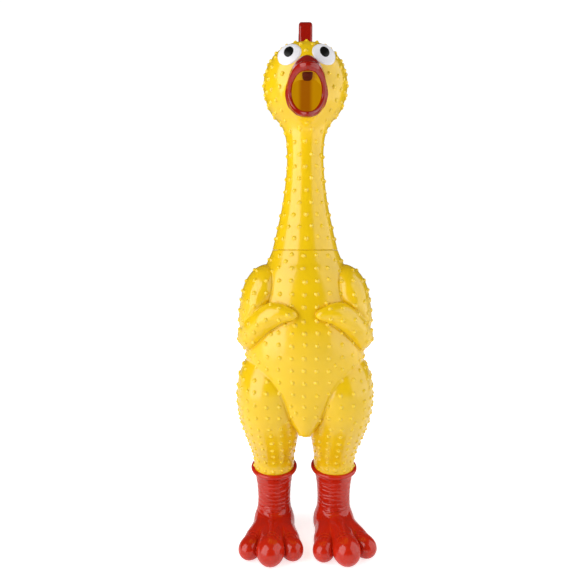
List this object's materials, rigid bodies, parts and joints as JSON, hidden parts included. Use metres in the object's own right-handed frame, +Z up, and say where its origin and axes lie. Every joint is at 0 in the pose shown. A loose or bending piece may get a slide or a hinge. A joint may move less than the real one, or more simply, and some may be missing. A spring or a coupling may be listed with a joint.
{
  "type": "rubber chicken",
  "caption": "Tall hollow squeeze toy chicken with an open beak, folded wings, nubbed yellow vinyl skin and red boots; its neck and boots turn and a reed squeaker sits in the neck.",
  "frame": {"origin": "on the floor, at the middle of the overall box", "axes": "+Z up, the face towards -Y, the chicken's own left towards +X"},
  "size_m": [0.1825, 0.1631, 0.686],
  "materials": {
    "yellow_vinyl": "soft glossy PVC",
    "red_gloss": "high gloss",
    "red_vinyl": "satin PVC",
    "eye_white": "satin",
    "eye_black": "satin",
    "squeaker_plastic": "moulded",
    "reed_film": "smooth film"
  },
  "bodies": {
    "torso": {"torso_shell": "yellow_vinyl"},
    "head_neck": {"head_neck_shell": "yellow_vinyl", "comb": "red_gloss", "beak": "red_gloss", "eye_white_left": "eye_white", "eye_white_right": "eye_white", "pupil_left": "eye_black", "pupil_right": "eye_black", "squeaker_housing": "squeaker_plastic", "squeaker_cap": "squeaker_plastic", "reed_trough": "squeaker_plastic", "reed_clamp": "squeaker_plastic"},
    "boot_left": {"boot_left": "red_vinyl"},
    "boot_right": {"boot_right": "red_vinyl"},
    "reed": {"reed_tongue": "reed_film"}
  },
  "joints": [
    {"name": "neck_swivel", "type": "hinge", "parent": "torso", "child": "head_neck", "pos_m": [-0.00163, 0.0134, 0.398], "axis": [0, 0, 1], "continuous": true},
    {"name": "boot_left_swivel", "type": "hinge", "parent": "torso", "child": "boot_left", "pos_m": [0.04037, 0.0394, 0.089], "axis": [0, 0, 1], "range_deg": [-6, 34]},
    {"name": "boot_right_swivel", "type": "hinge", "parent": "torso", "child": "boot_right", "pos_m": [-0.04363, 0.0394, 0.089], "axis": [0, 0, 1], "range_deg": [-40, 0]},
    {"name": "reed_flex", "type": "hinge", "parent": "head_neck", "child": "reed", "pos_m": [-0.00163, 0.01285, 0.404], "axis": [1, 0, 0], "range_deg": [-3.5, 0.8], "stiffness_Nm_per_rad": 0.0005}
  ]
}
